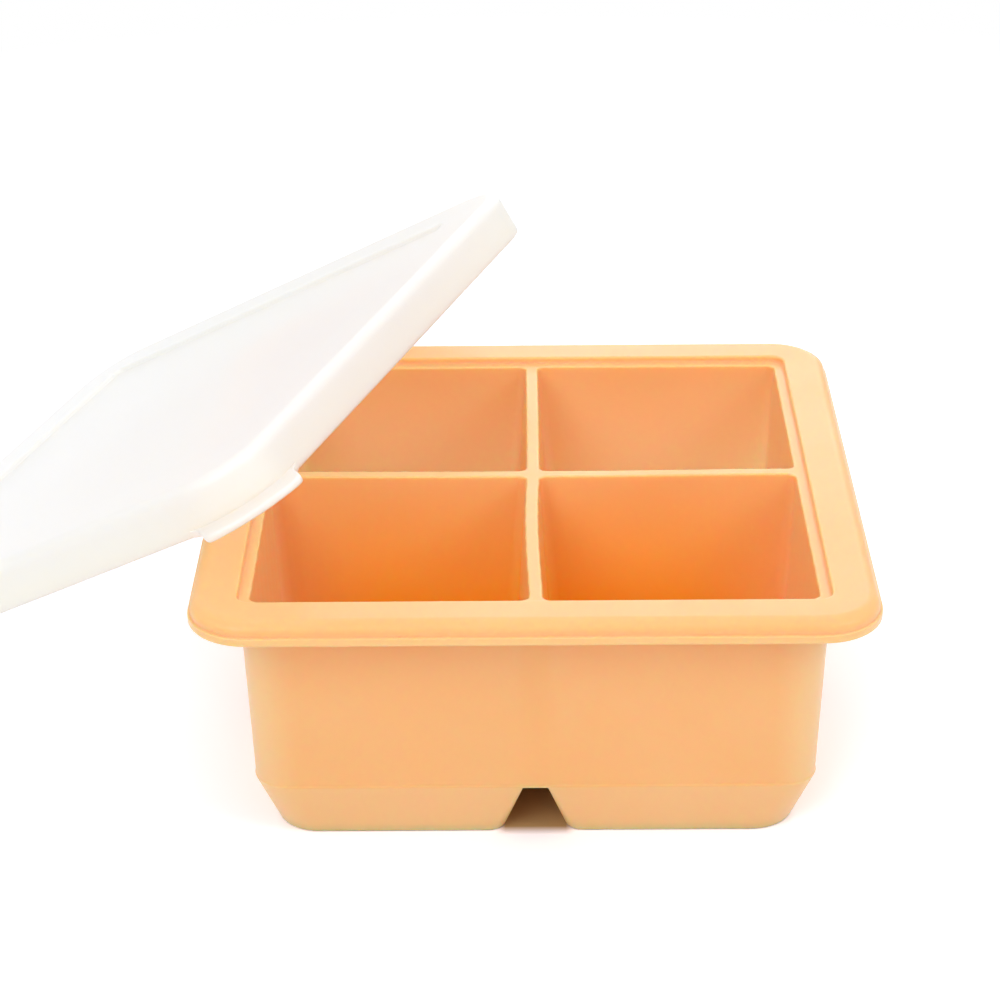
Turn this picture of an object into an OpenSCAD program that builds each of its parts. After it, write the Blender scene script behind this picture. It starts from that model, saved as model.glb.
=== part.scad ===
// Freezer tray with four square cells in one soft moulding, and its soft lid,
// which is taken off and leans on the tray's rear left corner.
// Millimetres, +Z up, floor at z = 0.

/* [Tray] */
// Width and depth across the lip of the rim
tray_w = 132; // [110:1:170]
// Height from the floor to the top of the rim
tray_h = 55; // [45:1:75]
// Cells along each side
cells = 2; // [1:1:3]

/* [Rim] */
// Height of the rim slab
rim_t = 4.4; // [3.5:0.1:7]
// Width of the rim from the lip to the step inside it
rim_w = 9.6; // [7:0.1:13]
// Radius of the rim's outer corners in plan
rim_corner_r = 12; // [8:0.5:18]
// Radius that rounds the rim's upper outer edge
rim_edge_r = 2.6; // [1:0.1:3]
// Height of the lip along the rim's lower edge
lip_t = 1.8; // [1:0.1:2.4]
// How far the lip stands out from the rim
lip_out = 0.5; // [0.3:0.1:1.2]
// Drop from the rim to the land that carries the lid's panel
step_drop = 1.3; // [0.8:0.1:2.5]
// Radius of the step's corners in plan
step_corner_r = 2.6; // [2.2:0.1:5]

/* [Cells] */
// Width of the land between the step and a cell
land_w = 2.2; // [1.5:0.1:4]
// Thickness of a divider at its top
divider_t = 2.7; // [2:0.1:5]
// Corner radius of a cell at its mouth
cell_corner_r = 1.7; // [1:0.1:4]
// Corner radius of a cell at its floor
cell_floor_r = 4.5; // [3:0.1:7]
// Slope of a cell's sides that back the outer wall, in degrees
wall_draft = 2.5; // [1.5:0.1:3]
// Slope of a cell's sides that back a divider, in degrees
divider_draft = 3.6; // [2.5:0.1:4]
// Thickness of a cell's floor
floor_t = 2.2; // [1.5:0.1:4]
// Bevel around a cell's mouth
mouth_bevel = 0.4; // [0.2:0.1:0.8]

/* [Outer wall] */
// Inset of the outer wall from the lip, just under the rim
wall_inset = 9.6; // [7:0.1:10.5]
// Slope of the outer wall, in degrees
body_draft = 1.9; // [1:0.1:2.5]
// Radius of the body's upright corners
body_corner_r = 5.7; // [4:0.1:9]
// Height of the mould line that runs round the shoulder
mould_line_h = 0.9; // [0.5:0.1:2]
// How far the mould line stands out
mould_line_out = 0.3; // [0.1:0.05:0.6]
// Width of the shallow valley down the middle of each wall
valley_w = 9.5; // [6:0.5:14]
// Depth of the valley
valley_d = 0.7; // [0.3:0.1:1]

/* [Cup bottoms] */
// Height of the shoulder, below which each cell has its own cup
shoulder_z = 12.5; // [8:0.5:18]
// Width of the groove between two cups, at its roof
groove_w = 4.7; // [3:0.1:7]
// Slope of a cup's sides, in degrees
cup_draft = 18; // [14:0.5:22]
// Radius of the edge round a cup's foot
foot_r = 3; // [1.5:0.1:4]

/* [Lid] */
// Thickness of the lid's top and skirt
lid_t = 1.6; // [1.2:0.1:2.4]
// Height of the lid from its top to the skirt's lower edge
lid_h = 10.3; // [8:0.1:16]
// Gap all round between the lip and the skirt when the lid is on
lid_gap = 0.4; // [0.2:0.05:0.8]
// Gap all round between the step and the lid's panel
panel_gap = 0.5; // [0.3:0.05:1]
// Gap between the land and the underside of the panel
seat_gap = 0.15; // [0.05:0.05:0.4]
// Radius that rounds the lid's upper edge
lid_edge_r = 2.4; // [1:0.1:3]
// Width of the pull tab
tab_w = 22; // [14:1:34]
// Reach of the pull tab beyond the lid's corner
tab_out = 8; // [5:0.5:14]
// Thickness of the pull tab
tab_t = 1.6; // [1.2:0.1:2.4]
// Radius of the pull tab's corners
tab_r = 3.5; // [2:0.5:5]

/* [Lid, as it leans] */
// Tilt of the lid from level, in degrees
lean = 31; // [24:0.5:36]
// Direction in plan that the lid rises towards, in degrees from +X
heading = -14.5; // [-25:0.5:-5]
// Turn of the lid in its own plane, in degrees
turn = -10.5; // [-20:0.5:-2]
// How far the lid lies along the slope's level line
lid_shift = 22.5; // [10:0.5:30]
// Gap left between the lid and what it leans on
rest_gap = 0.3; // [0.1:0.05:0.5]

/* [Hidden] */

tray_orange = [0.973, 0.725, 0.478];
lid_white = [0.965, 0.957, 0.925, 0.75];
// Steps in each rounded corner, in plan and over an edge
corner_steps = 8;
edge_steps = 4;
// Overrun of a cut past the face that it opens
over = 1;
// Least radius left in the plan of a rounded edge
least_r = 0.3;

half = tray_w / 2;
rim_z = tray_h - rim_t;
land_z = tray_h - step_drop;
step_half = half - rim_w;
cells_half = step_half - land_w;
cell_pitch = (2 * cells_half + divider_t) / cells;
cell_half = (cell_pitch - divider_t) / 2;
body_top_half = half - wall_inset;
body_low_half = body_top_half - (rim_z - shoulder_z) * tan(body_draft);
cup_pitch = (2 * body_low_half + groove_w) / cells;
cup_half = (cup_pitch - groove_w) / 2;
cup_foot_half = cup_half - shoulder_z * tan(cup_draft);
cup_corner_r = body_corner_r - shoulder_z * tan(cup_draft) / 4;
// How far the sides of a cell come in between the land and the shoulder
wall_lean = (land_z - shoulder_z) * tan(wall_draft);
divider_lean = (land_z - shoulder_z) * tan(divider_draft);
valley_r = (pow(valley_w / 2, 2) + pow(valley_d, 2)) / (2 * valley_d);

// The lid's own frame has z = 0 on the rim that it closes on.
skirt_half = half + lid_gap + lid_t;
skirt_low = lid_t - lid_h;
lid_corner_r = rim_corner_r + lid_gap + lid_t;
panel_half = step_half - panel_gap;
panel_low = seat_gap - step_drop;

// The lid's panel leans on the rounded edge of the tray's corner, and its lowest corner is on the floor.
function corner_span(flat, r, a) = flat * (cos(a) + abs(sin(a))) + r;
rim_reach = sin(lean) * corner_span(half - rim_corner_r, rim_corner_r - lip_out - rim_edge_r, heading)
    + cos(lean) * (tray_h - rim_edge_r) + rim_edge_r;
lid_stand_off = rim_reach + rest_gap - panel_low;
lid_z = sin(lean) * corner_span(skirt_half - lid_corner_r, lid_corner_r, turn)
    - skirt_low * cos(lean) + rest_gap;
lid_x = (lid_z * cos(lean) - lid_stand_off) / sin(lean);

// The origin is the middle of the whole footprint.
lid_mid = [lid_x * cos(heading) - lid_shift * sin(heading), lid_x * sin(heading) + lid_shift * cos(heading)];
across_x = [cos(heading) * cos(lean) * cos(turn) - sin(heading) * sin(turn),
    cos(heading) * cos(lean) * sin(turn) + sin(heading) * cos(turn)];
across_y = [sin(heading) * cos(lean) * cos(turn) + cos(heading) * sin(turn),
    sin(heading) * cos(lean) * sin(turn) - cos(heading) * cos(turn)];
function plate_span(a) = (skirt_half - lid_corner_r) * (abs(a.x) + abs(a.y)) + lid_corner_r * norm(a);
footprint_mid = [(half + lid_mid.x - plate_span(across_x)) / 2, (lid_mid.y + plate_span(across_y) - half) / 2];

// One level ring of a rounded rectangle: section = [z, half x, half y, corner radius, centre x, centre y]
function ring(s) = [for (c = [0:3], k = [0:corner_steps])
    let (a = 90 * (c + k / corner_steps), sx = c == 0 || c == 3 ? 1 : -1, sy = c < 2 ? 1 : -1)
    [s[4] + sx * (s[1] - s[3]) + s[3] * cos(a), s[5] + sy * (s[2] - s[3]) + s[3] * sin(a), s[0]]];

function square_section(z, h, r, at = [0, 0]) = [z, h, h, r, at.x, at.y];

// The sections that round an edge of radius edge_r into the face at z, up (1) or down (-1)
function rounded_edge(z, h, r, edge_r, up, at = [0, 0]) = [for (k = [0:edge_steps])
    let (a = 90 * k / edge_steps, inset = edge_r * (1 - cos(a)))
    square_section(z - up * edge_r * (1 - sin(a)), h - inset, max(r - inset, least_r), at)];

// A convex moulded block through its level sections
module block(sections) {
    n = 4 * (corner_steps + 1);
    hull()
        polyhedron(
            points = [for (s = sections) each ring(s)],
            faces = [for (i = [0:len(sections) - 1]) [for (k = [0:n - 1]) i * n + k]]
        );
}

module at_each(count, pitch) {
    for (i = [0:count - 1], j = [0:count - 1])
        translate([(i - (count - 1) / 2) * pitch, (j - (count - 1) / 2) * pitch, 0])
            children();
}

module rim() {
    block(concat([square_section(rim_z, half - lip_out, rim_corner_r - lip_out)],
        rounded_edge(tray_h, half - lip_out, rim_corner_r - lip_out, rim_edge_r, 1)));
    block([square_section(rim_z, half, rim_corner_r),
        square_section(rim_z + lip_t - lip_out / 2, half, rim_corner_r),
        square_section(rim_z + lip_t, half - lip_out / 2, rim_corner_r - lip_out / 2)]);
}

module body_wall() {
    difference() {
        union() {
            block([square_section(shoulder_z, body_low_half, body_corner_r),
                square_section(rim_z + over, body_top_half + over * tan(body_draft), body_corner_r)]);
            block([square_section(shoulder_z, body_low_half + mould_line_out / 2, body_corner_r),
                square_section(shoulder_z + mould_line_h / 2, body_low_half + mould_line_out, body_corner_r),
                square_section(shoulder_z + mould_line_h, body_low_half, body_corner_r)]);
        }
        for (a = [0:90:270])
            rotate([0, 0, a])
                valley();
    }
}

// A long shallow scallop that follows the slope of the wall
module valley() {
    hull() {
        translate([body_low_half - valley_d + valley_r, 0, shoulder_z - over])
            cylinder(r = valley_r, h = over, $fn = 120);
        translate([body_top_half - valley_d + valley_r, 0, rim_z - over])
            cylinder(r = valley_r, h = over, $fn = 120);
    }
}

module cup() {
    block(concat([square_section(shoulder_z + over, cup_half, body_corner_r),
        square_section(shoulder_z, cup_half, body_corner_r)],
        rounded_edge(0, cup_foot_half + foot_r * tan(cup_draft), cup_corner_r, foot_r, -1)));
}

// The room in one cell, which narrows as its cup does, with a rounded floor.
// sx and sy say which sides back the outer wall: 1, -1, or 0 for none.
module cell_room(sx, sy) {
    mid_shift = (divider_lean - wall_lean) / 2;
    mid = [sx * mid_shift, sy * mid_shift];
    mid_half = cell_half - (divider_lean + wall_lean) / 2;
    floor_half = mid_half - (shoulder_z - floor_t) * tan(cup_draft);
    block(concat([square_section(land_z + over, cell_half, cell_corner_r),
        square_section(land_z, cell_half, cell_corner_r),
        square_section(shoulder_z, mid_half, (cell_corner_r + cell_floor_r) / 2, mid)],
        rounded_edge(floor_t, floor_half + cell_floor_r * tan(cup_draft), cell_floor_r, cell_floor_r, -1, mid)));
    block([square_section(land_z + over, cell_half + mouth_bevel + over, cell_corner_r + mouth_bevel),
        square_section(land_z - mouth_bevel, cell_half, cell_corner_r)]);
}

module tray() {
    color(tray_orange)
        translate([-footprint_mid.x, -footprint_mid.y, 0])
            difference() {
                union() {
                    rim();
                    body_wall();
                    at_each(cells, cup_pitch)
                        cup();
                }
                block([square_section(land_z, step_half, step_corner_r),
                    square_section(tray_h + over, step_half, step_corner_r)]);
                for (i = [0:cells - 1], j = [0:cells - 1])
                    translate([(i - (cells - 1) / 2) * cell_pitch, (j - (cells - 1) / 2) * cell_pitch, 0])
                        cell_room(sign(i - (cells - 1) / 2), sign(j - (cells - 1) / 2));
            }
}

module lid_shell() {
    difference() {
        block(concat([square_section(skirt_low, skirt_half, lid_corner_r)],
            rounded_edge(lid_t, skirt_half, lid_corner_r, lid_edge_r, 1)));
        block([square_section(skirt_low - over, skirt_half - lid_t, lid_corner_r - lid_t),
            square_section(0, skirt_half - lid_t, lid_corner_r - lid_t)]);
    }
}

// The panel drops into the tray's step, and its top is sunk by as much.
module lid_panel() {
    block([square_section(panel_low, panel_half, step_corner_r),
        square_section(lid_t / 2, panel_half, step_corner_r)]);
}

// A flat tongue that follows the corner's curve, level with the skirt's lower edge
module pull_tab() {
    difference() {
        translate([0, 0, skirt_low])
            linear_extrude(tab_t)
                offset(tab_r, $fn = 32)
                    offset(-tab_r)
                        intersection() {
                            rounded_square(skirt_half + tab_out, lid_corner_r + tab_out);
                            rotate([0, 0, -45])
                                translate([0, -tab_w / 2])
                                    square([2 * skirt_half, tab_w]);
                        }
        block([square_section(skirt_low - over, skirt_half - lid_t / 2, lid_corner_r - lid_t / 2),
            square_section(0, skirt_half - lid_t / 2, lid_corner_r - lid_t / 2)]);
    }
}

module rounded_square(h, r) {
    offset(r, $fn = 96)
        square(2 * (h - r), center = true);
}

module lid() {
    color(lid_white)
        translate([-footprint_mid.x, -footprint_mid.y, 0])
            rotate([0, 0, heading])
                translate([lid_x, lid_shift, lid_z])
                    rotate([0, -lean, 0])
                        rotate([0, 0, turn])
                            difference() {
                                union() {
                                    lid_shell();
                                    lid_panel();
                                    pull_tab();
                                }
                                block([square_section(lid_t + panel_low, panel_half - lid_t, step_corner_r),
                                    square_section(lid_t + over, panel_half - lid_t, step_corner_r)]);
                            }
}

tray();
lid();
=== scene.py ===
import math
import bpy
import bmesh
import numpy as np
from mathutils import Matrix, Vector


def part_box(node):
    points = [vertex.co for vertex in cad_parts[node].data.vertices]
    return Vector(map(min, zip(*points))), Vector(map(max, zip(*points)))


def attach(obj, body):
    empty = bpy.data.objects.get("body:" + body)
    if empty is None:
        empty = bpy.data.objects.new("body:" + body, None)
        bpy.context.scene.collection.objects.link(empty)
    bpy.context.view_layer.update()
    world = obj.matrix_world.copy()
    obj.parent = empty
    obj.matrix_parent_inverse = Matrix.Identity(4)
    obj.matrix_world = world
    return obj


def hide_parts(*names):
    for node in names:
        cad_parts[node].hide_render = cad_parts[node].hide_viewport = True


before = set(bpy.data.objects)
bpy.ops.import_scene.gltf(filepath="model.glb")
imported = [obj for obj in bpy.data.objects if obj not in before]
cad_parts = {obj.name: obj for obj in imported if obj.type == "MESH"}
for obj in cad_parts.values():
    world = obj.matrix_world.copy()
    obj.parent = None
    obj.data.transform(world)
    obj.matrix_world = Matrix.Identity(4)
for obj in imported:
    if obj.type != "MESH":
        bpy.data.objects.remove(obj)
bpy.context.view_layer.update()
mm = 0.001  # every shape below is worked out in millimetres

trayLow, trayHigh = (np.array(corner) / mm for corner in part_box("tray"))
lidLow, lidHigh = (np.array(corner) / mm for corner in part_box("lid"))
trayMid = np.array([(trayLow[0] + trayHigh[0]) / 2, (trayLow[1] + trayHigh[1]) / 2, 0.0])
trayHalf = (trayHigh[0] - trayLow[0]) / 2
trayTop = trayHigh[2]
print("frame: tray", (2 * trayHalf).round(1), "mm wide,", trayTop.round(1), "mm high")


def filletedProfile(points, radii, support=0.05):
    # Rows are (reach, height, ...). Each inner corner is rounded by an arc of its own radius, which runs from
    # start to end about a centre: sin((1-t)a)/sin(a) of the one arm and sin(t a)/sin(a) of the other, for
    # t from 0 to 1 over the turn a. The columns past the second are carried along evenly, and one more row
    # on either side of an arc keeps the flats flat when shaded smooth.
    points = np.asarray(points, float)
    rows = [points[:1]]
    for before, corner, after, radius in zip(points, points[1:], points[2:], radii):
        if radius == 0:
            rows.append(corner[None])
            continue
        back = (before - corner) / np.linalg.norm((before - corner)[:2])
        ahead = (after - corner) / np.linalg.norm((after - corner)[:2])
        halfAngle = math.acos(np.clip(back[:2] @ ahead[:2], -1, 1)) / 2
        run = radius / math.tan(halfAngle)
        start = corner + back * run
        end = corner + ahead * run
        middle = back[:2] + ahead[:2]
        centre = corner[:2] + middle / np.linalg.norm(middle) * radius / math.sin(halfAngle)
        turn = math.pi - 2 * halfAngle
        arcPoints = 9 if radius > 0.6 else 5
        t = np.linspace(0, 1, arcPoints)[:, None]
        arms = np.sin((1 - t) * turn) * (start[:2] - centre) + np.sin(t * turn) * (end[:2] - centre)
        arc = np.hstack([centre + arms / math.sin(turn), start[2:] + t * (end - start)[2:]])
        rows += [(start + back * support)[None], arc, (end + ahead * support)[None]]
    return np.vstack(rows + [points[-1:]])


def quarterArc(corner, steps, square):
    # Unit directions over the quarter turn of a corner, pushed out to the unit square on a square one
    angle = np.pi / 2 * (corner + np.linspace(0, 1, steps + 1))
    direction = np.stack([np.cos(angle), np.sin(angle)], 1)
    return direction / np.abs(direction).max(1, keepdims=True) if square else direction


def squareRing(low, high, radii, arcSteps, sideSteps, square=False):
    # A level ring between low and high along both axes, alike about its diagonal: four arcs with straight
    # sides between them. The radii are the outer corner's, each side corner's towards the middle line and
    # towards the outside, and the inner corner's. Only the outer corner stays round on a square ring.
    outer, inward, outward, inner = radii
    corners = [(high - outer, high - outer, outer, outer), (low + inward, high - outward, inward, outward),
               (low + inner, low + inner, inner, inner), (high - outward, low + inward, outward, inward)]
    arcs = [np.array(c[:2]) + quarterArc(k, arcSteps, square and k > 0) * np.array(c[2:])
            for k, c in enumerate(corners)]
    t = np.linspace(0, 1, sideSteps + 1)[1:-1, None]
    sides = [arc[-1] + (following[0] - arc[-1]) * t for arc, following in zip(arcs, arcs[1:] + arcs[:1])]
    return np.vstack([part for pair in zip(arcs, sides) for part in pair])


def gridFaces(rows, columns, closed):
    # Quads between each row of a grid and the next
    across = np.arange(columns if closed else columns - 1)
    down = np.arange(rows - 1)[:, None] * columns
    nextAcross = (across + 1) % columns
    below = down + columns
    return np.stack([down + across, down + nextAcross, below + nextAcross, below + across], -1).reshape(-1, 4)


def stackSurfaces(surfaces):
    # Joins (grid of points, closed or not) surfaces into one list of points and quads
    points, faces, count = [], [], 0
    for grid, closed in surfaces:
        rows, columns = grid.shape[:2]
        points.append(grid.reshape(-1, 3))
        faces.append(gridFaces(rows, columns, closed) + count)
        count += rows * columns
    return np.vstack(points), np.vstack(faces)


def makePiece(name, points, faces, depth, weld=0.004, sharpAngle=42):
    # One smooth mesh object from points in millimetres, with its doubles merged and its faces turned
    # outwards. Its attribute holds a number per point: painted light and shade on the tray, cream on the lid.
    mesh = bpy.data.meshes.new(name)
    mesh.from_pydata((points * mm).tolist(), [], faces.tolist())
    mesh.attributes.new("depth", "FLOAT", "POINT").data.foreach_set("value", depth.astype(np.float32))
    work = bmesh.new()
    work.from_mesh(mesh)
    bmesh.ops.remove_doubles(work, verts=work.verts, dist=weld * mm)
    bmesh.ops.dissolve_degenerate(work, edges=work.edges, dist=weld * mm / 4)
    bmesh.ops.recalc_face_normals(work, faces=work.faces)
    openEdges = sum(1 for edge in work.edges if len(edge.link_faces) != 2)
    work.to_mesh(mesh)
    work.free()
    mesh.polygons.foreach_set("use_smooth", np.ones(len(mesh.polygons), bool))
    mesh.set_sharp_from_angle(angle=math.radians(sharpAngle))
    piece = bpy.data.objects.new(name, mesh)
    bpy.context.scene.collection.objects.link(piece)
    print(name + ":", len(mesh.polygons), "faces,", openEdges, "open edges")
    return piece


tray = {
    "rimThick": 4.65, "rimWide": 9.6, "rimCorner": 12.0, "rimSlopeWide": 1.7, "rimSlopeHigh": 1.25,
    "slopeRounds": (3.0, 1.9), "stepDrop": 1.3, "stepLean": 0.05, "stepCorner": 2.6,
    "stepRounds": (0.62, 0.5),
    "lipThick": 1.75, "lipOut": 0.5, "lipSlope": 0.1, "lipRounds": (0.3, 0.14, 0.5),
    "landWide": 2.2, "dividerThick": 2.6, "cellCorner": 1.7, "floorRound": 4.5, "floorThick": 2.2,
    "wallDraft": 2.5, "dividerDraft": 3.6, "mouthRound": 0.4, "bendRound": 3.0,
    "wallInset": 9.4, "wallRound": 1.2, "bodyDraft": 1.9, "bodyCorner": 6.8,
    "lineHigh": 0.9, "lineOut": 0.14, "lineRounds": (0.3, 0.15),
    "valleyWide": 10.5, "valleyDeep": 0.8, "valleyFoot": 0.12, "valleyTop": 1.2, "valleyEnd": 6.0,
    "valleyIn": 4.0, "valleySoft": 3.0,
    "shoulder": 12.3, "grooveWide": 4.7, "grooveCorner": 0.5, "cupDraft": 16.8, "footRound": 0.5,
    "cupCorner": 8.8, "footCorner": 3.4, "footRing": 2.0, "mouthOut": 0.8, "landOut": 0.9,
    "arcSteps": 12, "sideSteps": 40,
}
traySlack = {
    "bowFront": 0.42, "frontSpan": 43.0, "bowBack": 0.07, "bowAcross": (0.1, 0.00025, 0.55),
    "spread": 6.0, "fromStep": 4.0, "ragged": 0.09, "raggedAt": (-30, -28), "raggedWide": 30,
}
# Strengths and sizes of the painted light and shade on the tray
trayPaintedShades = {
    "sides": 0.26, "back": 0.5, "paintedShadeBand": 0.09, "bandHalf": 3.4, "bandSoft": 1.3, "bandRise": 4.0,
    "cups": 0.045, "lip": 0.05, "corners": 0.06, "cornerWide": 9.0, "cornerSoft": 6.0,
}


def slope(height, degrees):
    return height * math.tan(math.radians(degrees))


def traySizes():
    # The sizes that follow from the driving ones
    sizes = {"rimUnder": trayTop - tray["rimThick"], "land": trayTop - tray["stepDrop"]}
    sizes["step"] = trayHalf - tray["rimWide"]
    sizes["cellHalf"] = (sizes["step"] - tray["landWide"] - tray["dividerThick"] / 2) / 2
    sizes["cellMid"] = sizes["cellHalf"] + tray["dividerThick"] / 2
    sizes["bodyTop"] = trayHalf - tray["wallInset"]
    sizes["bodyLow"] = sizes["bodyTop"] - slope(sizes["rimUnder"] - tray["shoulder"], tray["bodyDraft"])
    sizes["cupHalf"] = (sizes["bodyLow"] - tray["grooveWide"] / 2) / 2
    sizes["cupMid"] = sizes["cupHalf"] + tray["grooveWide"] / 2
    sizes["cupFoot"] = sizes["cupHalf"] - slope(tray["shoulder"], tray["cupDraft"])
    deep = sizes["land"] - tray["shoulder"]
    sizes["wallLean"] = slope(deep, tray["wallDraft"])
    sizes["dividerLean"] = slope(deep, tray["dividerDraft"])
    return sizes


def closedRings(profile):
    # Rings of a cell or a cup: rows are (half width, height, centre, outer corner, the other corners)
    rings = []
    for half, height, centre, outer, others in profile:
        radii = (outer, others, others, others)
        ring = squareRing(centre - half, centre + half, radii, tray["arcSteps"], tray["sideSteps"])
        rings.append(np.column_stack([ring, np.full(len(ring), height)]))
    return np.array(rings)


def boundaryRing(half, height, corner, inward, outward):
    # The ring that a quarter of the tray ends at: two sides on the tray's middle lines, two on its outside
    radii = (corner, inward, outward, inward)
    ring = squareRing(0, half, radii, tray["arcSteps"], tray["sideSteps"], square=True)
    return np.column_stack([ring, np.full(len(ring), height)])


def cutValley(points, bodyLow, share):
    # A shallow cosine trough down the middle of each outer wall, which dies out inside the wall
    wave = np.cos(np.pi * np.clip(points[..., 1::-1] * 2 / tray["valleyWide"], -1, 1))
    near = np.clip((points[..., :2] - bodyLow + tray["valleyIn"]) / tray["valleySoft"], 0, 1)
    points[..., :2] -= tray["valleyDeep"] * (0.5 + 0.5 * wave) * near * np.clip(share, 0, 1)[..., None]
    return points


def cellSurface(sizes):
    # The inside of a cell: its mouth, its leaning walls and the round bottom of its cup
    mid = sizes["cellMid"] + (sizes["dividerLean"] - sizes["wallLean"]) / 2
    midHalf = sizes["cellHalf"] - (sizes["dividerLean"] + sizes["wallLean"]) / 2
    floorHalf = midHalf - slope(tray["shoulder"] - tray["floorThick"], tray["cupDraft"])
    corners = [tray["cellCorner"] + tray["mouthOut"], tray["cellCorner"],
               (tray["cellCorner"] + tray["floorRound"]) / 2,
               tray["floorRound"], tray["floorRound"] / 6, tray["floorRound"] / 9, 0]
    places = [(sizes["cellHalf"] + tray["mouthOut"], sizes["land"], sizes["cellMid"]),
              (sizes["cellHalf"], sizes["land"], sizes["cellMid"]), (midHalf, tray["shoulder"], mid),
              (floorHalf, tray["floorThick"], mid),
              (floorHalf - 1.1 * tray["floorRound"], tray["floorThick"], mid),
              (floorHalf / 2, tray["floorThick"], mid), (0, tray["floorThick"], mid)]
    profile = [(*place, corner, corner) for place, corner in zip(places, corners)]
    rounds = [tray["mouthRound"], tray["bendRound"], tray["floorRound"], 0, 0]
    return closedRings(filletedProfile(profile, rounds))


def cupSurface(sizes):
    # The outside of a cup below the shoulder. Its corners by the groove open out from nothing to the foot.
    ring = tray["footRing"]
    profile = filletedProfile([
        (sizes["cupHalf"], tray["shoulder"], sizes["cupMid"], tray["bodyCorner"], tray["grooveCorner"]),
        (sizes["cupFoot"], 0, sizes["cupMid"], tray["cupCorner"], tray["footCorner"]),
        (sizes["cupFoot"] - ring, 0, sizes["cupMid"], tray["cupCorner"] - ring, tray["footCorner"] - ring),
        (sizes["cupFoot"] / 2, 0, sizes["cupMid"], tray["cupCorner"] / 3, tray["footCorner"] / 3),
        (0, 0, sizes["cupMid"], 0, 0)], [tray["footRound"], 0, 0])
    rings = closedRings(profile)
    fading = 1 - (tray["shoulder"] - rings[..., 2]) / tray["valleyEnd"]
    return cutValley(rings, sizes["bodyLow"], tray["valleyFoot"] * fading)


def skinSurface(sizes):
    # The rim, the lip and the outer wall, from the land out and down to the shoulder
    land = (tray["dividerThick"] / 2 + tray["cellCorner"], tray["cellCorner"])
    groove = (tray["grooveWide"] / 2 + tray["grooveCorner"], tray["grooveCorner"])
    step, lipHalf, rimHalf = sizes["step"], trayHalf, trayHalf - tray["lipOut"]
    rimCorner = tray["rimCorner"] - tray["lipOut"]
    lipTop = sizes["rimUnder"] + tray["lipThick"]
    rounds = [*tray["stepRounds"], *tray["slopeRounds"], *tray["lipRounds"],
              tray["wallRound"], *tray["lineRounds"]]
    profile = filletedProfile([
        (step - tray["landOut"], sizes["land"], tray["stepCorner"] - tray["landOut"], *land),
        (step, sizes["land"], tray["stepCorner"], *land),
        (step + tray["stepLean"], trayTop, tray["stepCorner"] + tray["stepLean"], *land),
        (rimHalf - tray["rimSlopeWide"], trayTop, rimCorner - tray["rimSlopeWide"], *land),
        (rimHalf, trayTop - tray["rimSlopeHigh"], rimCorner, *land),
        (rimHalf, lipTop + tray["lipSlope"], rimCorner, *land),
        (lipHalf, lipTop, tray["rimCorner"], *land),
        (lipHalf, sizes["rimUnder"], tray["rimCorner"], *land),
        (sizes["bodyTop"], sizes["rimUnder"], tray["bodyCorner"], *land),
        (sizes["bodyLow"], tray["shoulder"] + tray["lineHigh"], tray["bodyCorner"], *groove),
        (sizes["bodyLow"] + tray["lineOut"], tray["shoulder"] + tray["lineHigh"] / 2,
         tray["bodyCorner"] + tray["lineOut"], *groove),
        (sizes["bodyLow"], tray["shoulder"], tray["bodyCorner"], *groove)], rounds)
    turn, side = tray["arcSteps"], tray["arcSteps"] + tray["sideSteps"]
    outside = np.r_[3 * side + turn // 2:4 * side, 0:side + turn // 2 + 1]
    grid = np.array([boundaryRing(*row)[outside] for row in profile])
    up = np.clip((grid[..., 2] - tray["shoulder"]) / (sizes["rimUnder"] - tray["shoulder"]), 0, 1)
    share = tray["valleyFoot"] + (1 - tray["valleyFoot"]) * up
    share *= np.clip((sizes["rimUnder"] - grid[..., 2]) / tray["valleyTop"], 0, 1)
    return cutValley(grid, sizes["bodyLow"], share)


def landSurface(sizes, cell):
    # The narrow ledge around the cells and the tops of the dividers
    inward = tray["dividerThick"] / 2 + tray["cellCorner"]
    half, corner = sizes["step"] - tray["landOut"], tray["stepCorner"] - tray["landOut"]
    outer = boundaryRing(half, sizes["land"], corner, inward, tray["cellCorner"])
    return np.array([outer, (outer + cell[0]) / 2, cell[0]])


def grooveSurface(sizes, cup):
    # The roof of the groove between the cups, from the tray's middle lines to the tops of the cups
    inward = tray["grooveWide"] / 2 + tray["grooveCorner"]
    outer = boundaryRing(sizes["bodyLow"], tray["shoulder"], tray["bodyCorner"], inward, tray["grooveCorner"])
    outer = cutValley(outer, sizes["bodyLow"], np.full(len(outer), tray["valleyFoot"]))
    side = tray["arcSteps"] + tray["sideSteps"]
    between = np.r_[side:3 * side + tray["arcSteps"] + 1]
    share = np.linspace(0, 1, 6)[:, None, None]
    return outer[between] + (cup[0] - outer)[between] * share


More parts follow.
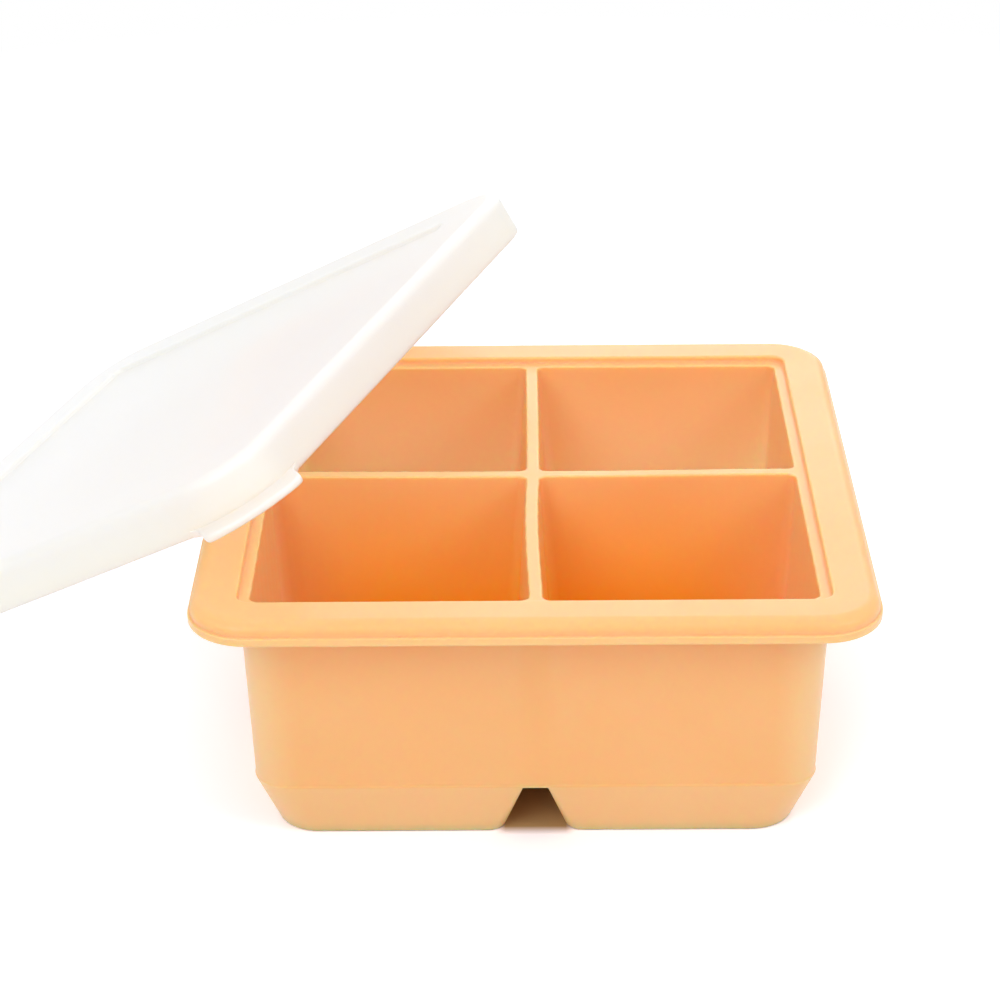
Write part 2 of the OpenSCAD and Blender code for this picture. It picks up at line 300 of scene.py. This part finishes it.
def softenTray(points, sizes):
    # The slack of soft silicone, as seen in the photograph: near the tops of the dividers x is moved by a
    # sine of y and y by a square of x, and the mouths of the cells are a little ragged with flash, most so
    # around one place
    x, y, z = points.T.copy()
    top = np.clip((z - tray["shoulder"]) / (sizes["land"] - tray["shoulder"]), 0, 1) ** 2
    span = np.where(y < 0, traySlack["frontSpan"], sizes["step"])
    bowX = np.where(y < 0, traySlack["bowFront"], traySlack["bowBack"]) * np.sin(np.pi * y / span)
    least, bend, most = traySlack["bowAcross"]
    bowY = np.minimum(least + bend * x ** 2, most)
    stepAway = traySlack["fromStep"]
    edgeX, edgeY = (np.clip((sizes["step"] - np.abs(axis)) / stepAway, 0, 1) for axis in (x, y))
    points[:, 0] += top * np.exp(-(x / traySlack["spread"]) ** 2) * bowX * edgeY
    points[:, 1] += top * np.exp(-(y / traySlack["spread"]) ** 2) * bowY * edgeX
    awayX, awayY = (np.abs(np.abs(axis) - sizes["cellMid"]) for axis in (x, y))
    away = np.maximum(awayX, awayY) - sizes["cellHalf"]
    mouth = np.clip(1 - away / tray["mouthOut"], 0, 1) * np.clip((z - sizes["land"] + 0.7) / 0.4, 0, 1)
    atX, atY = traySlack["raggedAt"]
    near = np.exp(-((x - atX) ** 2 + (y - atY) ** 2) / traySlack["raggedWide"] ** 2)
    mouth *= traySlack["ragged"] * (0.3 + near)
    points[:, 0] += mouth * (np.sin(2.3 * y) + np.sin(4.1 * y + 0.7 * x))
    points[:, 1] += mouth * (np.sin(2.1 * x + 1) + np.sin(3.7 * x - 0.9 * y))
    return points


def trayPaintedShading(points, sizes, cellCount):
    # Painted light and shade on the orange, as a share: above 0 deeper, below 0 paler. Painted shade deepens
    # it down into the cells, painted light makes it paler where daylight comes in through the thin outer
    # walls, and painted shade darkens a strip where the dividers meet the outside. Painted light makes the
    # lip, the body's corners and the cups a little paler. The first points of a quarter are a cell's.
    shades, shoulder = trayPaintedShades, tray["shoulder"]
    x, y, z = points.T
    nearest = np.abs(points[:, :2]).min(1)
    down = np.clip((sizes["land"] - z) / (sizes["land"] - shoulder), 0, 1)
    beside, behind = (np.clip((a - sizes["cellMid"]) / sizes["cellHalf"], 0, 1) ** 2 for a in (np.abs(x), y))
    # painted shade deepening down the cells, less of it where painted light stands for daylight through the
    # outer walls
    inside = down ** 1.5 * (1 - beside) * (1 - behind)
    inside -= np.clip(4 * down, 0, 1) * np.maximum(shades["sides"] * beside, shades["back"] * behind)
    # a strip of painted shade where a divider meets the outer wall
    paintedShadeBand = np.clip((shades["bandHalf"] - nearest) / shades["bandSoft"], 0, 1)
    paintedShadeBand *= np.clip((z - shoulder - 1) / shades["bandRise"], 0, 1)
    # painted light on the lip, the body's corners and the cups
    lip = np.clip(1 - np.abs(z - sizes["rimUnder"] - tray["lipThick"] / 2) / tray["lipThick"], 0, 1)
    corner = np.clip((nearest - sizes["bodyLow"] + shades["cornerWide"]) / shades["cornerSoft"], 0, 1)
    pale = np.where(z > sizes["rimUnder"] + 0.1, shades["lip"] * lip, shades["corners"] * corner)
    pale = np.where(z < shoulder + 0.1, shades["cups"], pale)
    paintedShading = shades["paintedShadeBand"] * paintedShadeBand * (z < sizes["rimUnder"]) - pale
    paintedShading.reshape(4, -1)[:, :cellCount] = inside.reshape(4, -1)[:, :cellCount]
    return paintedShading


def makeTray():
    # A quarter of the tray, mirrored to four, so that every seam closes on the tray's middle lines
    sizes = traySizes()
    cell, cup = cellSurface(sizes), cupSurface(sizes)
    points, faces = stackSurfaces([(cell, True), (cup, True), (landSurface(sizes, cell), True),
                                   (skinSurface(sizes), False), (grooveSurface(sizes, cup), False)])
    mirrors = [(1, 1), (-1, 1), (-1, -1), (1, -1)]
    quarters = [points * [mx, my, 1] for mx, my in mirrors]
    turned = [faces if mx * my > 0 else faces[:, ::-1] for mx, my in mirrors]
    quads = [quarter + k * len(points) for k, quarter in enumerate(turned)]
    whole = np.vstack(quarters)
    # painted light and shade, carried to the material as a point attribute
    paintedShading = trayPaintedShading(whole, sizes, cell.size // 3)
    return makePiece("tray_moulding", softenTray(whole, sizes) + trayMid, np.vstack(quads), paintedShading)


lid = {
    "thick": 1.6, "high": 10.3, "gap": 0.4, "panelGap": 0.5, "seatGap": 0.15, "edgeRound": 2.4,
    "dishSlope": 0.4, "dishRounds": (0.6, 0.7), "skirtRounds": (0.4, 1.2), "panelRounds": (0.4, 0.4),
    "tabWide": 22.0, "tabOut": 8.0, "tabThick": 1.6, "tabSoft": 0.5, "tabSquareness": 9.0,
    "swell": 0.35, "swellHalf": 58.0, "lean": 31.0, "heading": -14.5, "turn": -10.5,
    "creamTop": 1.2, "creamHigh": 8.0, "creamSoft": 4.0, "arcSteps": 64, "sideSteps": 30,
}


def tabReach(angle, along, radius):
    # How far the tab stands out from the skirt, measured square to it, at a corner of the given radius: the
    # softened least of the tab's outer arc and its straight sides, (a to the -p + b to the -p) to the -1/p
    halfWide = lid["tabWide"] / 2
    lateral = radius * np.sin(np.abs(angle)) + along * math.sqrt(0.5)
    sides = np.clip((halfWide - lateral) / np.maximum(np.sin(np.abs(angle)), 1e-3), 0, 1e3)
    p = lid["tabSquareness"]
    return 1 / (lid["tabOut"] ** -p + np.maximum(sides, 1e-3) ** -p) ** (1 / p)


def rotation(axis, degrees):
    # The matrix of a turn about one axis
    c, s = math.cos(math.radians(degrees)), math.sin(math.radians(degrees))
    return np.array({"x": [[1, 0, 0], [0, c, -s], [0, s, c]],
                     "y": [[c, 0, s], [0, 1, 0], [-s, 0, c]],
                     "z": [[c, -s, 0], [s, c, 0], [0, 0, 1]]}[axis])


def lidProfile(sizes):
    # Rows are (half width, height, corner radius, share of the tab's reach), from the middle of the top
    # over the edge and the tab to the middle of the underside
    skirt, low = trayHalf + lid["gap"] + lid["thick"], lid["thick"] - lid["high"]
    corner = tray["rimCorner"] + lid["gap"] + lid["thick"]
    panel, panelCorner = sizes["step"] - lid["panelGap"], tray["stepCorner"]
    panelLow = lid["seatGap"] - tray["stepDrop"]
    sunk, dish = lid["thick"] + panelLow, panel - lid["thick"]
    tabTop, soft = low + lid["tabThick"], lid["tabSoft"]
    top = filletedProfile([
        (0, sunk, 0, 0), (panel / 2, sunk, panelCorner / 2, 0), (dish, sunk, panelCorner, 0),
        (dish + lid["dishSlope"], lid["thick"], panelCorner + lid["dishSlope"], 0),
        (skirt, lid["thick"], corner, 0), (skirt, tabTop + soft, corner, 0)],
        [0, *lid["dishRounds"], lid["edgeRound"]])
    quarter = np.linspace(0, math.pi / 2, 5)[1:]
    tab = [(skirt, tabTop + drop, corner, share) for drop, share in ((0.15, 0), (0, 0.02), (-0.01, 0.9))]
    tab += [(skirt, tabTop - 0.02 - soft * (1 - math.cos(a)), corner, 0.9 + 0.1 * math.sin(a))
            for a in quarter]
    tab += [(skirt, low + soft, corner, 1)]
    inset = soft * (1 - np.cos(quarter))
    tab += [(skirt - i, low + soft * (1 - math.sin(a)), corner - i, 1) for i, a in zip(inset, quarter)]
    inner = filletedProfile([
        (skirt - soft, low, corner - soft, 0), (skirt - lid["thick"], low, corner - lid["thick"], 0),
        (skirt - lid["thick"], 0, corner - lid["thick"], 0), (panel, 0, panelCorner, 0),
        (panel, panelLow, panelCorner, 0), (panel / 2, panelLow, panelCorner / 2, 0),
        (0, panelLow, 0, 0)], [*lid["skirtRounds"], *lid["panelRounds"], 0])
    return np.vstack([top, tab, inner[1:]]), skirt, corner


def makeLid():
    # Rounded-square rings along the lid's profile. The tab is centred on the fourth corner, half way round
    # its arc, and the panel swells up a little, by a product of cosines with two slow waves on it.
    sizes = traySizes()
    rows, skirt, corner = lidProfile(sizes)
    turn, side = lid["arcSteps"], lid["arcSteps"] + lid["sideSteps"]
    step = (np.arange(4 * side) - 3 * side - turn / 2 + 2 * side) % (4 * side) - 2 * side
    angle = np.clip(step / turn, -0.5, 0.5) * math.pi / 2
    along = np.clip(np.abs(step) - turn / 2, 0, None) * 2 * (skirt - corner) / lid["sideSteps"]
    reach = tabReach(angle, along, corner)
    outward = np.stack([np.cos(angle - math.pi / 4), np.sin(angle - math.pi / 4)], 1)
    rings = []
    for half, height, radius, share in rows:
        ring = squareRing(-half, half, [radius] * 4, turn, lid["sideSteps"])
        ring += outward * (reach * share)[:, None]
        rings.append(np.column_stack([ring, np.full(len(ring), height)]))
    points, faces = stackSurfaces([(np.array(rings), True)])
    x, y, z = points.T.copy()
    humpX, humpY = (np.cos(np.pi / 2 * np.clip(axis / lid["swellHalf"], -1, 1)) for axis in (x, y))
    waves = 0.7 + 0.2 * np.sin(x / 9 + y / 21) + 0.1 * np.sin(y / 7 - x / 16 + 2)
    points[:, 2] += lid["swell"] * humpX * humpY * waves
    pose = rotation("z", lid["heading"]) @ rotation("y", -lid["lean"]) @ rotation("z", lid["turn"])
    placed = points @ pose.T
    placed += (lidLow + lidHigh) / 2 - (placed.min(0) + placed.max(0)) / 2
    outside = np.clip((np.abs(points[:, :2]).max(1) - sizes["step"]) / lid["creamSoft"], 0, 1)
    creamy = np.clip((lid["creamTop"] - z) / lid["creamHigh"], 0, 1) * outside  # grows down the skirt
    return makePiece("lid_moulding", placed, faces, creamy)


trayPiece = makeTray()
lidPiece = makeLid()


def newMaterial(name):
    material = bpy.data.materials.new(name)
    material.use_nodes = True
    tree = material.node_tree
    return material, tree, tree.nodes["Principled BSDF"]


def maths(tree, operation, *values):
    # One Math node, fed by numbers and by other nodes' outputs
    node = tree.nodes.new("ShaderNodeMath")
    node.operation = operation
    for socket, value in zip(node.inputs, values):
        if hasattr(value, "is_output"):
            tree.links.new(value, socket)
        else:
            socket.default_value = value
    return node.outputs[0]


def ranged(tree, value, fromLow, fromHigh, low, high):
    # Carries a value from one range to another
    span = tree.nodes.new("ShaderNodeMapRange")
    for name, number in (("From Min", fromLow), ("From Max", fromHigh), ("To Min", low), ("To Max", high)):
        span.inputs[name].default_value = number
    tree.links.new(value, span.inputs["Value"])
    return span.outputs["Result"]


def mouldedSkin():
    # Soft moulded silicone: a fine satin grain, slow flow marks and a few stray specks, as masks and a height
    group = bpy.data.node_groups.new("mouldedSkin", "ShaderNodeTree")
    for name in ("Grain Size", "Flow Size", "Speck Size", "Speck Share"):
        group.interface.new_socket(name, in_out="INPUT", socket_type="NodeSocketFloat")
    for name in ("Flow", "Specks", "Height"):
        group.interface.new_socket(name, in_out="OUTPUT", socket_type="NodeSocketFloat")
    add, link = group.nodes.new, group.links.new
    inputs, outputs, place = add("NodeGroupInput"), add("NodeGroupOutput"), add("ShaderNodeTexCoord")
    grain, flow, specks = add("ShaderNodeTexNoise"), add("ShaderNodeTexNoise"), add("ShaderNodeTexVoronoi")
    grain.inputs["Detail"].default_value = 3
    flow.inputs["Detail"].default_value = 3
    flow.inputs["Distortion"].default_value = 0.6
    for texture, size in ((grain, "Grain Size"), (flow, "Flow Size"), (specks, "Speck Size")):
        link(place.outputs["Object"], texture.inputs["Vector"])
        link(inputs.outputs[size], texture.inputs["Scale"])
    split = add("ShaderNodeSeparateColor")
    link(specks.outputs["Color"], split.inputs["Color"])
    chosen = maths(group, "LESS_THAN", split.outputs["Red"], inputs.outputs["Speck Share"])
    dots = maths(group, "MULTIPLY", ranged(group, specks.outputs["Distance"], 0.06, 0.02, 0, 1), chosen)
    link(flow.outputs["Fac"], outputs.inputs["Flow"])
    link(dots, outputs.inputs["Specks"])
    link(maths(group, "MULTIPLY_ADD", dots, 0.6, grain.outputs["Fac"]), outputs.inputs["Height"])
    return group


skinGroup = mouldedSkin()
bumpHigh = 0.00006


def placeSkin(tree, shader, finish):
    # Puts the moulded skin into a material, and its height and sheen on the shader
    skin = tree.nodes.new("ShaderNodeGroup")
    skin.node_tree = skinGroup
    for name, value in finish["skin"].items():
        skin.inputs[name].default_value = value
    bump = tree.nodes.new("ShaderNodeBump")
    bump.inputs["Distance"].default_value = bumpHigh
    bump.inputs["Strength"].default_value = finish["bump"]
    tree.links.new(skin.outputs["Height"], bump.inputs["Height"])
    tree.links.new(bump.outputs["Normal"], shader.inputs["Normal"])
    sheen = ranged(tree, skin.outputs["Flow"], 0.3, 0.7, *finish["roughness"])
    tree.links.new(sheen, shader.inputs["Roughness"])
    return skin


def mixColours(tree, factor, first, second):
    mix = tree.nodes.new("ShaderNodeMix")
    mix.data_type = "RGBA"
    for socket, value in ((6, first), (7, second)):
        if hasattr(value, "is_output"):
            tree.links.new(value, mix.inputs[socket])
        else:
            mix.inputs[socket].default_value = (*value, 1)
    tree.links.new(factor, mix.inputs[0])
    return mix.outputs[2]


def setSubsurface(shader, finish):
    # Light that wanders inside the silicone, red furthest
    shader.inputs["IOR"].default_value = 1.41
    shader.inputs["Subsurface Weight"].default_value = finish["subsurface"]
    shader.inputs["Subsurface Radius"].default_value = finish["subsurfaceColour"]
    shader.inputs["Subsurface Scale"].default_value = finish["subsurfaceDeep"]


trayFinish = {
    "colour": (0.99, 0.54, 0.225), "warm": (0.985, 0.52, 0.205), "speck": (0.99, 0.70, 0.45),
    # deep is the colour of the painted shade, thin that of the painted light
    "deep": (1.0, 0.44, 0.022), "deepAt": 0.8, "thin": (1.0, 0.97, 0.66), "thinAt": -0.4,
    "clouds": (0.35, 0.65), "roughness": (0.29, 0.36), "bump": 0.25,
    "subsurface": 1.0, "subsurfaceDeep": 0.006, "subsurfaceColour": (1.0, 0.34, 0.15),
    "skin": {"Grain Size": 2600, "Flow Size": 26, "Speck Size": 90, "Speck Share": 0.12},
}


def trayMaterial():
    # Orange silicone: two near shades in slow clouds, painted shade deepening it down in the cells, painted
    # light paling it by the walls, lip, corners and cups, and a few pale specks
    material, tree, shader = newMaterial("orangeSilicone")
    skin = placeSkin(tree, shader, trayFinish)
    clouds = ranged(tree, skin.outputs["Flow"], *trayFinish["clouds"], 0, 1)
    base = mixColours(tree, clouds, trayFinish["colour"], trayFinish["warm"])
    depth = tree.nodes.new("ShaderNodeAttribute")
    depth.attribute_name = "depth"
    # the deep colour is painted shade and the thin colour painted light, mixed in by the attribute
    for shade, fully in (("deep", trayFinish["deepAt"]), ("thin", trayFinish["thinAt"])):
        base = mixColours(tree, ranged(tree, depth.outputs["Fac"], 0, fully, 0, 1), base, trayFinish[shade])
    base = mixColours(tree, skin.outputs["Specks"], base, trayFinish["speck"])
    tree.links.new(base, shader.inputs["Base Color"])
    setSubsurface(shader, trayFinish)
    return material


lidFinish = {
    "colour": (0.885, 0.888, 0.848), "cool": (0.875, 0.878, 0.843), "skirt": (0.93, 0.94, 0.81),
    "clouds": (0.2, 0.8), "roughness": (0.29, 0.33), "bump": 0.25, "shade": 0.12,
    "subsurface": 1.0, "subsurfaceDeep": 0.004, "subsurfaceColour": (1.0, 0.93, 0.8),
    "skin": {"Grain Size": 1800, "Flow Size": 18, "Speck Size": 70, "Speck Share": 0},
}


def lidMaterial():
    # Milky silicone, thin enough for light and the tray's orange to come through
    material, tree, shader = newMaterial("milkySilicone")
    skin = placeSkin(tree, shader, lidFinish)
    clouds = ranged(tree, skin.outputs["Flow"], *lidFinish["clouds"], 0, 1)
    base = mixColours(tree, clouds, lidFinish["colour"], lidFinish["cool"])
    depth = tree.nodes.new("ShaderNodeAttribute")
    depth.attribute_name = "depth"
    base = mixColours(tree, depth.outputs["Fac"], base, lidFinish["skirt"])
    tree.links.new(base, shader.inputs["Base Color"])
    setSubsurface(shader, lidFinish)
    lightPath = tree.nodes.new("ShaderNodeLightPath")
    spread = maths(tree, "MAXIMUM", lightPath.outputs["Is Diffuse Ray"], lightPath.outputs["Is Shadow Ray"])
    solid = ranged(tree, spread, 0, 1, 1, lidFinish["shade"])  # the rest of the light goes through
    tree.links.new(solid, shader.inputs["Alpha"])
    return material


def dress(piece, node, material):
    # Gives a piece its material, its body and its CAD node's place
    piece.data.materials.append(material)
    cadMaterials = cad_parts[node].data.materials
    cadMaterials.clear()
    cadMaterials.append(material)
    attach(piece, node)
    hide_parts(node)


dress(trayPiece, "tray", trayMaterial())
dress(lidPiece, "lid", lidMaterial())
print("materials: orange tray, milky lid")


studio = {
    "floorSize": 6.0, "floorLow": -0.0001, "floorColour": (0.82, 0.82, 0.82), "floorSeen": (1.27, 1.29, 1.42),
    # the next colour is the painted shade on the floor in the grooves beneath the tray
    "under": (0.5, 0.34, 0.16), "underTo": (0.053, 0.050), "groove": (0.008, 0.006), "fade": (0.25, 0.5),
    "worldStrength": 0.57, "lampTarget": 0.03,
}


def seenDirectly(tree):
    # 1 for rays from the camera, and for those by way of a gloss or a see-through piece
    rays = tree.nodes.new("ShaderNodeLightPath").outputs
    result = maths(tree, "MAXIMUM", rays["Is Camera Ray"], rays["Is Glossy Ray"])
    return maths(tree, "MAXIMUM", result, rays["Is Transmission Ray"])


def shadeMix(tree, factor, first, second):
    mix = tree.nodes.new("ShaderNodeMixShader")
    for socket, value in zip(mix.inputs, (factor, first, second)):
        tree.links.new(value, socket)
    return mix.outputs[0]


def floorMaterial():
    # Matte, and to the camera a little past white, so that only close shadows show. The floor in the groove
    # between the cups is painted a darker brown, a painted shade, and far off it is as white as the
    # background.
    material, tree, shader = newMaterial("paleFloor")
    tree.nodes.remove(shader)
    nodes, links = tree.nodes, tree.links
    place, shift = nodes.new("ShaderNodeTexCoord"), nodes.new("ShaderNodeVectorMath")
    shift.operation = "SUBTRACT"
    shift.inputs[1].default_value = trayMid * mm
    links.new(place.outputs["Object"], shift.inputs[0])
    axes, reach = nodes.new("ShaderNodeSeparateXYZ"), nodes.new("ShaderNodeVectorMath")
    links.new(shift.outputs[0], axes.inputs[0])
    # painted shade on the floor in the grooves under the tray
    beside = [maths(tree, "ABSOLUTE", axes.outputs[axis]) for axis in "XY"]
    inside = ranged(tree, maths(tree, "MAXIMUM", *beside), *studio["underTo"], 0, 1)
    between = ranged(tree, maths(tree, "MINIMUM", *beside), *studio["groove"], 0, 1)
    under = maths(tree, "MULTIPLY", inside, between)
    reach.operation = "LENGTH"
    links.new(shift.outputs[0], reach.inputs[0])
    matte, seen = nodes.new("ShaderNodeBsdfDiffuse"), nodes.new("ShaderNodeBsdfDiffuse")
    for surface, colour in ((matte, studio["floorColour"]), (seen, studio["floorSeen"])):
        links.new(mixColours(tree, under, colour, studio["under"]), surface.inputs["Color"])
    white = nodes.new("ShaderNodeEmission").outputs[0]
    farOff = ranged(tree, reach.outputs["Value"], *studio["fade"], 0, 1)
    shown = shadeMix(tree, farOff, seen.outputs[0], white)
    surface = shadeMix(tree, seenDirectly(tree), matte.outputs[0], shown)
    links.new(surface, nodes["Material Output"].inputs["Surface"])
    return material


def makeFloor():
    half, low = studio["floorSize"] / 2, studio["floorLow"]  # low keeps it clear of the cups' feet
    mesh = bpy.data.meshes.new("floor")
    corners = [(-half, -half, low), (half, -half, low), (half, half, low), (-half, half, low)]
    mesh.from_pydata(corners, [], [(0, 1, 2, 3)])
    mesh.materials.append(floorMaterial())
    floor = bpy.data.objects.new("floor", mesh)
    bpy.context.scene.collection.objects.link(floor)


def makeWorld():
    # Even daylight on the piece, and a plain white background
    world = bpy.data.worlds.new("studio")
    bpy.context.scene.world = world
    world.use_nodes = True
    tree = world.node_tree
    background = tree.nodes["Background"]
    background.inputs["Color"].default_value = (1, 1, 1, 1)
    strength = ranged(tree, seenDirectly(tree), 0, 1, studio["worldStrength"], 1)
    tree.links.new(strength, background.inputs["Strength"])


lamps = {
    "overhead": {"at": (0.05, 0.1, 1.1), "size": 1.2, "watts": 3.0},
    "keySoft": {"at": (-0.6, -1.1, 1.1), "size": 0.9, "watts": 8.4},
    "rightSoft": {"at": (1.05, -0.65, 1.0), "size": 0.6, "watts": 4.6},
    "behind": {"at": (0.1, 1.2, 0.45), "size": 0.8, "watts": 3.0},
}


def aim(thing, place, target):
    # Turns a lamp so that it looks at the target
    away = np.array(place, float) - np.array(target, float)
    away /= np.linalg.norm(away)
    right = np.cross((0, 1, 0) if abs(away[2]) > 0.99 else (0, 0, 1), away)
    right /= np.linalg.norm(right)
    up = np.cross(away, right)
    matrix = np.eye(4)
    matrix[:3, 0], matrix[:3, 1], matrix[:3, 2], matrix[:3, 3] = right, up, away, place
    thing.matrix_world = Matrix(matrix.tolist())


def makeLamps():
    target = trayMid * mm + np.array([0, 0, studio["lampTarget"]])
    for name, lamp in lamps.items():
        light = bpy.data.lights.new(name, "AREA")
        light.shape, light.size, light.energy = "SQUARE", lamp["size"], lamp["watts"]
        thing = bpy.data.objects.new(name, light)
        bpy.context.scene.collection.objects.link(thing)
        aim(thing, np.array(lamp["at"]) + trayMid * mm, target)


cameraView = {
    "lens": 99.69, "sensor": 36, "fromTray": (-2.01, -514.2, 307.0),
    "yaw": 0.542, "pitch": -26.764, "roll": 0.621,
}


def makeCamera():
    view = cameraView
    camera = bpy.data.cameras.new("camera")
    camera.lens, camera.sensor_width, camera.sensor_fit = view["lens"], view["sensor"], "HORIZONTAL"
    camera.clip_start, camera.clip_end = 0.01, 50
    turned = rotation("z", view["yaw"]) @ rotation("x", view["pitch"]) @ rotation("y", view["roll"])
    right, forward, up = turned.T
    matrix = np.eye(4)
    matrix[:3, 0], matrix[:3, 1], matrix[:3, 2] = right, up, -forward
    matrix[:3, 3] = (trayMid + np.array(view["fromTray"])) * mm
    thing = bpy.data.objects.new("camera", camera)
    thing.matrix_world = Matrix(matrix.tolist())
    bpy.context.scene.collection.objects.link(thing)
    bpy.context.scene.camera = thing


makeFloor()
makeWorld()
makeLamps()
makeCamera()
bpy.context.scene.view_settings.view_transform = "Standard"
print("studio: floor, world,", len(lamps), "lamps and camera")
